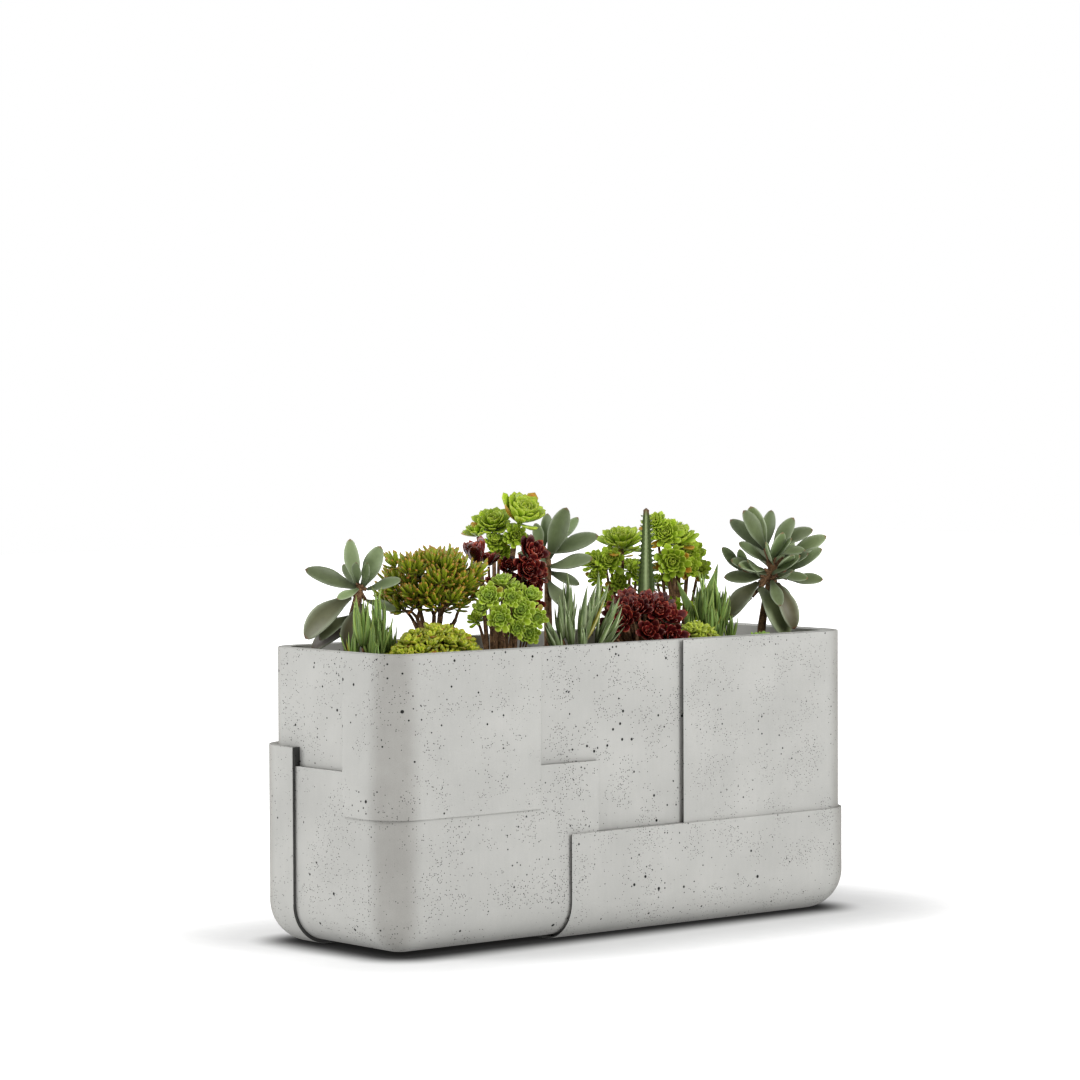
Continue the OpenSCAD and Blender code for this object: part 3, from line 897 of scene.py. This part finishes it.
class PLANTER_OT_soil(Operator):
    """Add the crumbly surface of the soil with loose grit on it"""

    bl_idname = "planter.soil"
    bl_label = "Add soil surface"

    def execute(self, context):
        rng = random.Random(context.scene.planter_plants.seed)
        half = Vector((SOIL_BOX[1].x - 0.8 * MM, SOIL_BOX[1].y - 0.8 * MM))
        round_r = CORNER_R - WALL_T - 1.0 * MM
        mesh = bmesh.new()
        bmesh.ops.create_grid(mesh, x_segments=190, y_segments=62, size=1.0)
        for vert in mesh.verts:
            spot = Vector((vert.co.x * half.x, vert.co.y * half.y))
            core = Vector((
                max(-half.x + round_r, min(half.x - round_r, spot.x)),
                max(-half.y + round_r, min(half.y - round_r, spot.y)),
            ))
            out = spot - core
            if out.length > round_r:
                spot = core + out.normalized() * round_r
            lump = noise.fractal(Vector((spot.x, spot.y, 0)) * 45, 0.8, 2.0, 5)
            vert.co = Vector((spot.x, spot.y, SOIL_TOP + CRUST + CRUMBS * lump))
        finish = earthy_material("loose_soil", (0.010, 0.007, 0.004), (0.11, 0.075, 0.045), 160, 3 * MM)
        new_piece("soil_surface", mesh, finish)
        grit = Heap()
        for index in range(GRIT_COUNT):
            spot = Vector((rng.uniform(-0.96, 0.96) * half.x, rng.uniform(-0.9, 0.9) * half.y, 0))
            size = rng.uniform(1.6, 4.2) * MM
            spot.z = SOIL_TOP + 4.0 * MM + size * 0.5
            for vert in grit.sphere(6, 4):
                rough = size * (1 + 0.5 * noise.noise(vert.co * 1.3 + Vector((index * 7.1, 0, 0))))
                vert.co = spot + Vector((vert.co.x, vert.co.y, vert.co.z * 0.7)) * rough
        stone = earthy_material("pumice_grit", (0.16, 0.13, 0.10), (0.50, 0.46, 0.40), 400, 0.6 * MM)
        new_piece("soil_grit", grit.joined(), stone)
        return {"FINISHED"}


class PLANTER_OT_paddle_plants(Operator):
    """Add the three plants with large grey paddle leaves"""

    bl_idname = "planter.paddle_plants"
    bl_label = "Add paddle plants"

    def execute(self, context):
        settings = context.scene.planter_plants
        body = Vector(settings.grey_leaf)
        colours = (
            (0.060, 0.040, 0.020), body * 1.15, (0.42, 0.48, 0.34), (0.18, 0.045, 0.020), (0.20, 0.09, 0.05),
        )
        finish = leaf_material("grey_paddle_skin", 0.42, colours, (0.70, 0.8, 0.93, 0.0, 0.75))
        for node, hub, leaves in (
            ("paddle_plant_left", (20, -12, 134), LEFT_PADDLES),
            ("paddle_plant_middle", (0, 0, 166), MIDDLE_PADDLES),
            ("paddle_plant_right", (12, -18, 135), RIGHT_PADDLES),
        ):
            plant = Plant(node, settings.seed + len(leaves))
            plant.root_ball(33 * MM)
            self.fan(plant, plant.at(*hub), leaves)
            plant.finish("grey_leaf", finish)
        return {"FINISHED"}

    def fan(self, plant, hub, leaves):
        """A trunk up to the hub with leaves on short shoots around it."""
        plant.branch(plant.at(0, 0, -6), hub, 7.5 * MM, 5.5 * MM)
        for across, above, angle, length, lean, old in leaves:
            base = hub + ACROSS * across * MM + UP * above * MM + OUTLOOK * lean * 0.2 * MM
            if (base - hub).length > 8 * MM:
                plant.branch(hub, base, 4.5 * MM, 3.2 * MM)
            along = fan_direction(angle, lean)
            face = OUTLOOK * 0.75 + UP * 0.65
            if abs(angle) < 30:
                face = OUTLOOK * 0.9 + ACROSS * plant.rng.choice((-0.45, 0.45))
            matrix = leaf_frame(base, along, face)
            curl = plant.rng.uniform(0.1, 0.4) if old < 0.6 else plant.rng.uniform(-0.9, -0.6)
            wide = plant.rng.uniform(0.85, 1.05)
            plant.leaf(PADDLE, matrix, length * MM, curl, 1 - old ** 1.6, wide)


def finger_tuft(plant, base, count, length, spread, shape, lean=Vector((0, 0, 0)), wide=1.0, shoot=0.0):
    """Leaves around the end of a shoot, spreading outwards."""
    axis = (UP + lean).normalized()
    spin = UP.rotation_difference(axis).to_matrix()
    for index in range(count):
        part = (index + 0.5) / count
        out = spin @ heading_out(index * GOLDEN_ANGLE + plant.rng.uniform(-0.3, 0.3))
        tilt = spread * math.sqrt(part) * plant.rng.uniform(0.75, 1.15)
        along = axis * math.cos(tilt) + out * math.sin(tilt)
        face = axis * 0.3 - out
        size = length * plant.rng.uniform(0.72, 1.05) * (1.0 - 0.25 * part)
        foot = base + out * plant.rng.uniform(0.5, 3.0) * MM + axis * shoot * (1 - part)
        curl = plant.rng.uniform(0.1, 0.7)
        plant.leaf(shape, leaf_frame(foot, along, face), size, curl, 1 - part, wide)


class PLANTER_OT_finger_plants(Operator):
    """Add the three clumps of long finger leaves"""

    bl_idname = "planter.finger_plants"
    bl_label = "Add finger plants"

    def execute(self, context):
        settings = context.scene.planter_plants
        body = Vector(settings.blue_leaf)
        colours = (body * 0.75, body * 1.3, (0.46, 0.54, 0.14), (0.45, 0.30, 0.05), (0.48, 0.42, 0.04))
        green = leaf_material("green_finger_skin", 0.38, colours, (0.55, 0.6, 0.9, 0.24, 0.8))
        colours = (
            (0.110, 0.160, 0.045), (0.17, 0.25, 0.09), (0.66, 0.72, 0.46), (0.34, 0.12, 0.04),
            (0.62, 0.50, 0.03),
        )
        blue = leaf_material("blue_blade_skin", 0.42, colours, (0.65, 0.55, 0.93, 0.26, 0.8))
        plant = Plant("finger_plant_left", settings.seed + 11)
        self.clump(plant, 25, LEFT_FINGERS, 0.3, 3.4, 3.0, (0.52, FINGER))
        plant.finish("blue_leaf", green)
        plant = Plant("finger_plant_middle", settings.seed + 12)
        self.clump(plant, 29, MIDDLE_FINGERS, 0.4, 4.2, 3.4, (0.42, BLADE))
        plant.finish("blue_leaf", blue)
        plant = Plant("finger_plant_right", settings.seed + 13)
        self.clump(plant, 27, RIGHT_FINGERS, 0.3, 3.6, 3.0, (0.50, FINGER), 1.1)
        for across, height, angle in ((-6, 74, 18), (10, 84, 12), (-24, 60, -24)):
            matrix = leaf_frame(plant.at(across, 10, height), fan_direction(angle, 0), OUTLOOK)
            plant.leaf(BLADE, matrix, 76 * MM, 0.2, 0.1, 1.3)
        plant.finish("green_leaf", green)
        return {"FINISHED"}

    def clump(self, plant, root, shoots, inward, thick, thin, leaf, wide=1.0):
        """Shoots from one root ball, each with a tuft at its end."""
        plant.root_ball(root * MM)
        for across, depth, height, count, length, lean in shoots:
            base = plant.at(across, depth, height)
            plant.branch(plant.at(across * inward, depth * inward, -4), base, thick * MM, thin * MM)
            finger_tuft(plant, base, count, length * MM, *leaf, ACROSS * lean, wide)


class PLANTER_OT_jelly_shrub(Operator):
    """Add the branching shrub with tufts of short tube leaves"""

    bl_idname = "planter.jelly_shrub"
    bl_label = "Add jelly shrub"

    def execute(self, context):
        settings = context.scene.planter_plants
        body = Vector(settings.olive_leaf)
        colours = (body * 0.8, body * 1.25, (0.46, 0.52, 0.06), (0.42, 0.10, 0.015), (0.42, 0.14, 0.03))
        finish = leaf_material("olive_tube_skin", 0.34, colours, (0.15, 0.85, 0.72, 0.22, 0.5), 0.15)
        plant = Plant("jelly_shrub", settings.seed + 21)
        plant.root_ball(33 * MM)
        forks = []
        for index in range(9):
            out = heading_out(index * GOLDEN_ANGLE)
            reach = 16 + 5 * index
            fork = plant.at(out.x * reach, out.y * reach * 0.8, 92 - 3 * index)
            plant.branch(plant.at(out.x * 8, out.y * 8, -4), fork, 5 * MM, 3.4 * MM)
            forks.append(fork)
        for index in range(JELLY_LOBES):
            self.lobe(plant, forks, index)
        plant.finish("olive_leaf", finish)
        return {"FINISHED"}

    def lobe(self, plant, forks, index):
        """Five tufts around the end of a branch, somewhere on the shrub's dome."""
        level = 1 - 1.55 * (index + 0.5) / JELLY_LOBES
        ring = math.sqrt(max(0.0, 1 - level * level))
        out = heading_out(index * GOLDEN_ANGLE + plant.rng.uniform(-0.3, 0.3)) * ring + UP * level
        reach = plant.rng.uniform(0.62, 1.02)
        heart = plant.at(out.x * 70 * reach, out.y * 62 * reach, 116 + out.z * 68 * reach)
        fork = min(forks, key=lambda point: (point - heart).length)
        plant.branch(fork, heart, 2.8 * MM, 2.2 * MM, steps=5)
        for shoot in range(5):
            aside = heading_out(shoot * GOLDEN_ANGLE + index) + UP * plant.rng.uniform(-0.3, 0.8)
            tip = heart + aside * plant.rng.uniform(9, 21) * MM
            plant.branch(heart, tip, 1.8 * MM, 1.5 * MM, steps=4)
            finger_tuft(plant, tip, 13, 32 * MM, 1.15, TUBE, out * 0.5 + aside * 0.7, shoot=10 * MM)


def rosette_plant(plant, heads, shape, count, thick, finish, slot, root, flare=78, wide=1.0):
    """A plant of rosettes on bare branching stems."""
    plant.root_ball(root * MM)
    for across, depth, height, radius, turn, *opening in heads:
        centre = plant.at(across, depth, height)
        away = Vector((across, depth, 0)) * 0.006
        axis = (UP * (1 - turn) + OUTLOOK * turn * 1.1 + away).normalized()
        neck = centre - axis * radius * 0.10 * MM
        plant.branch(plant.at(across * 0.42, depth * 0.42, -6), neck, thick * MM, thick * MM * 0.7)
        leaves = max(16, round(count * (radius / 30) ** 0.5))
        plant.rosette(centre, axis, radius * MM, leaves, shape, *(opening or [flare]), 10, wide)
    plant.finish(slot, finish)


class PLANTER_OT_rosette_plants(Operator):
    """Add the green and the dark aeoniums and the cluster of bright green rosettes"""

    bl_idname = "planter.rosette_plants"
    bl_label = "Add rosette plants"

    def execute(self, context):
        settings = context.scene.planter_plants
        seed = settings.seed
        body = Vector(settings.lime_leaf)
        colours = (body * 1.15, body * 0.70, (0.62, 0.70, 0.12), (0.56, 0.50, 0.05), (0.56, 0.22, 0.02))
        finish = leaf_material("lime_rosette_skin", 0.36, colours, (0.55, 0.30, 0.84, 0.20, 0.45))
        for node, heads, shift in (
            ("green_aeonium_tall", TALL_GREEN_HEADS, 31),
            ("green_aeonium_middle", MIDDLE_GREEN_HEADS, 32),
            ("green_aeonium_right", RIGHT_GREEN_HEADS, 33),
        ):
            rosette_plant(Plant(node, seed + shift), heads, SPOON, 46, 3.4, finish, "lime_leaf", 25, 84, 0.78)
        body = Vector(settings.wine_leaf)
        # The dark leaves' red edges and orange tips are painted highlights, where the glossy leaves catch the
        # light
        colours = (body, body * 3.2, (0.36, 0.045, 0.025), (0.40, 0.07, 0.015), (0.50, 0.13, 0.02))
        finish = leaf_material("wine_rosette_skin", 0.24, colours, (0.50, 0.55, 0.8, 0.08, 1.3), 0.3)
        plant = Plant("dark_aeonium_tall", seed + 41)
        rosette_plant(plant, TALL_DARK_HEADS, WINE, 28, 3.2, finish, "dark_leaf", 23, 62)
        plant = Plant("dark_aeonium_mound", seed + 42)
        rosette_plant(plant, self.mound(plant.rng), WINE, 26, 3.2, finish, "dark_leaf", 27, 66)
        colours = (
            (0.320, 0.440, 0.024), (0.10, 0.22, 0.006), (0.74, 0.84, 0.20), (0.46, 0.64, 0.10),
            (0.40, 0.26, 0.03),
        )
        finish = leaf_material("green_rosette_skin", 0.34, colours, (0.85, 0.5, 0.86, 0.10, 0.35))
        plant = Plant("rosette_cluster", seed + 51)
        rosette_plant(plant, CLUSTER_HEADS, SPOON, 44, 1.8, finish, "green_leaf", 27, 74, 0.84)
        return {"FINISHED"}

    def mound(self, rng):
        """Rosettes spread over a low dome."""
        heads = []
        count = 19
        for index in range(count):
            part = (index + 0.5) / count
            out = heading_out(index * GOLDEN_ANGLE) * math.sqrt(part)
            height = 98 - 56 * part ** 1.4 + rng.uniform(-9, 9)
            heads.append((66 * out.x - 8, 34 * out.y, height, rng.uniform(28, 38), 0.25 + 0.6 * part))
        return heads


class PLANTER_OT_column_spurge(Operator):
    """Add the ribbed and spiny column"""

    bl_idname = "planter.column_spurge"
    bl_label = "Add column spurge"

    def execute(self, context):
        settings = context.scene.planter_plants
        groove = (0.34, 0.42, 0.20)
        colours = (groove, groove, (0.045, 0.072, 0.012), (0.13, 0.05, 0.03), (0.2, 0.2, 0.1))
        finish = leaf_material("ribbed_column_skin", 0.72, colours, (1.8, 1.0, 0.94, 0.0, 0.2))
        plant = Plant("column_spurge", settings.seed + 61)
        plant.root_ball(21 * MM)
        height = plant.top - SOIL_TOP
        self.column(plant, plant.at(0, 0, -8), height + 8 * MM, 23 * MM, 64)
        for across, depth, tall, radius in ((20, 4, 118, 7), (12, 14, 96, 6), (-6, -16, 60, 6)):
            self.column(plant, plant.at(across, depth, 8), tall * MM, radius * MM, 30)
        plant.finish("spurge_green", finish)
        return {"FINISHED"}

    def column(self, plant, base, height, radius, rings):
        """A four-ribbed column with wavy, toothed ribs; a groove faces the light."""
        start = math.atan2(OUTLOOK.y, OUTLOOK.x) + math.pi / 4
        chance = plant.rng.random()
        for vert in plant.leaves.sphere(24, rings):
            part = from_pole(vert.co)
            angle = math.atan2(vert.co.y, vert.co.x)
            rib = (0.5 + 0.5 * math.cos(4 * (angle - start))) ** 1.3
            wave = 1 + 0.20 * rib * math.sin(part * height / TOOTH_PITCH * math.tau)
            body = self.taper(part) * min(1.0, 12 * part + 0.6)
            out = radius * body * (0.42 + 0.58 * rib) * wave
            if part < 0.001 or part > 0.999:
                out = 0.0
            vert.co = base + heading_out(angle) * out + UP * part * height
            vert[plant.leaves.tone] = (part, rib ** 0.6, chance, 0.5)
        for rib_index in range(4):
            out = heading_out(start + rib_index * math.pi / 2)
            for tooth in range(int(height / TOOTH_PITCH)):
                part = (tooth + 0.25) * TOOTH_PITCH / height
                if 0.1 < part < 0.97:
                    spot = base + out * radius * self.taper(part) * 1.10 + UP * part * height
                    size = max(2.0 * MM, radius * 0.26)
                    plant.leaf(THORN, leaf_frame(spot, out + UP * 0.2, UP), size, 0.3, 0.5)

    def taper(self, part):
        """How full the column is at a part of its height."""
        return min(1.0, 0.26 + 1.1 * (1 - part))


def stonecrop(plant, count, reach, height, leaves, size, finish, slot, root):
    """A low mound of small leafy shoots."""
    plant.root_ball(root * MM)
    for index in range(count):
        part = (index + 0.5) / count
        out = heading_out(index * GOLDEN_ANGLE)
        across = out.x * math.sqrt(part) * reach[0]
        depth = out.y * math.sqrt(part) * reach[1]
        lift = height * (1 - 0.7 * part ** 1.5) * plant.rng.uniform(0.82, 1.1)
        tip = plant.at(across, depth, lift)
        plant.branch(plant.at(across * 0.5, depth * 0.5, 0), tip, 1.6 * MM, 1.2 * MM, steps=4)
        axis = (UP + out * 0.9 * part + OUTLOOK * 0.15).normalized()
        plant.rosette(tip, axis, size * MM * plant.rng.uniform(0.8, 1.15), leaves, SCALE, 84, 15)
    plant.finish(slot, finish)


class PLANTER_OT_stonecrops(Operator):
    """Add the gold and lime stonecrops and the small sprouts"""

    bl_idname = "planter.stonecrops"
    bl_label = "Add stonecrops"

    def execute(self, context):
        settings = context.scene.planter_plants
        body = Vector(settings.gold_leaf)
        colours = (body * 0.62, body * 1.15, (0.66, 0.70, 0.12), (0.46, 0.22, 0.02), (0.42, 0.15, 0.02))
        gold = leaf_material("gold_scale_skin", 0.34, colours, (0.45, 0.5, 0.78, 0.34, 0.9))
        colours = (body * 0.8, body * 1.2, (0.66, 0.74, 0.30), (0.55, 0.58, 0.10), (0.42, 0.30, 0.05))
        lime = leaf_material("lime_scale_skin", 0.38, colours, (0.5, 0.3, 0.8, 0.08, 0.5))
        colours = (
            (0.20, 0.36, 0.06), (0.30, 0.50, 0.08), (0.5, 0.62, 0.2), (0.4, 0.3, 0.08), (0.30, 0.12, 0.05),
        )
        fresh = leaf_material("sprout_skin", 0.4, colours, (0.4, 0.4, 0.85, 0.25, 0.4))
        plants = [
            Plant(node, settings.seed + 71 + index)
            for index, node in enumerate(("gold_sedum_front", "lime_sedum_right", "sprout_clump"))
        ]
        stonecrop(plants[0], 74, (84, 44), 62, 11, 22, gold, "gold_leaf", 27)
        stonecrop(plants[1], 36, (44, 28), 50, 10, 18, lime, "lime_leaf", 19)
        stonecrop(plants[2], 9, (22, 16), 30, 8, 18, fresh, "green_leaf", 17)
        return {"FINISHED"}


class PLANTER_PT_tools(Panel):
    """Lists the planter's operators and settings"""

    bl_idname = "PLANTER_PT_tools"
    bl_label = "Concrete planter"
    bl_space_type = "VIEW_3D"
    bl_region_type = "UI"
    bl_category = "Planter"

    def draw(self, context):
        layout = self.layout
        for settings in ("planter_stage", "planter_concrete", "planter_plants"):
            group = getattr(context.scene, settings)
            for name in group.bl_rna.properties.keys():
                if name not in ("rna_type", "name"):
                    layout.prop(group, name)
        for operator in OPERATORS:
            layout.operator(operator.bl_idname)


SETTINGS = (PlanterConcreteSettings, PlanterPlantSettings, PlanterStageSettings)
OPERATORS = (
    PLANTER_OT_stage, PLANTER_OT_concrete, PLANTER_OT_fittings, PLANTER_OT_soil, PLANTER_OT_paddle_plants,
    PLANTER_OT_finger_plants, PLANTER_OT_jelly_shrub, PLANTER_OT_rosette_plants, PLANTER_OT_column_spurge,
    PLANTER_OT_stonecrops,
)


def register():
    """Registers the settings, the operators and the panel."""
    for item in SETTINGS + OPERATORS + (PLANTER_PT_tools,):
        bpy.utils.register_class(item)
    bpy.types.Scene.planter_concrete = PointerProperty(type=PlanterConcreteSettings)
    bpy.types.Scene.planter_plants = PointerProperty(type=PlanterPlantSettings)
    bpy.types.Scene.planter_stage = PointerProperty(type=PlanterStageSettings)


def unregister():
    """Takes the settings, the operators and the panel away again."""
    del bpy.types.Scene.planter_stage
    del bpy.types.Scene.planter_plants
    del bpy.types.Scene.planter_concrete
    for item in reversed(SETTINGS + OPERATORS + (PLANTER_PT_tools,)):
        bpy.utils.unregister_class(item)


def main():
    """Builds everything."""
    register()
    for operator in OPERATORS:
        group, name = operator.bl_idname.split(".")
        if getattr(getattr(bpy.ops, group), name)() != {"FINISHED"}:
            raise RuntimeError(f"{operator.bl_label} did not finish")


if __name__ == "__main__":
    main()
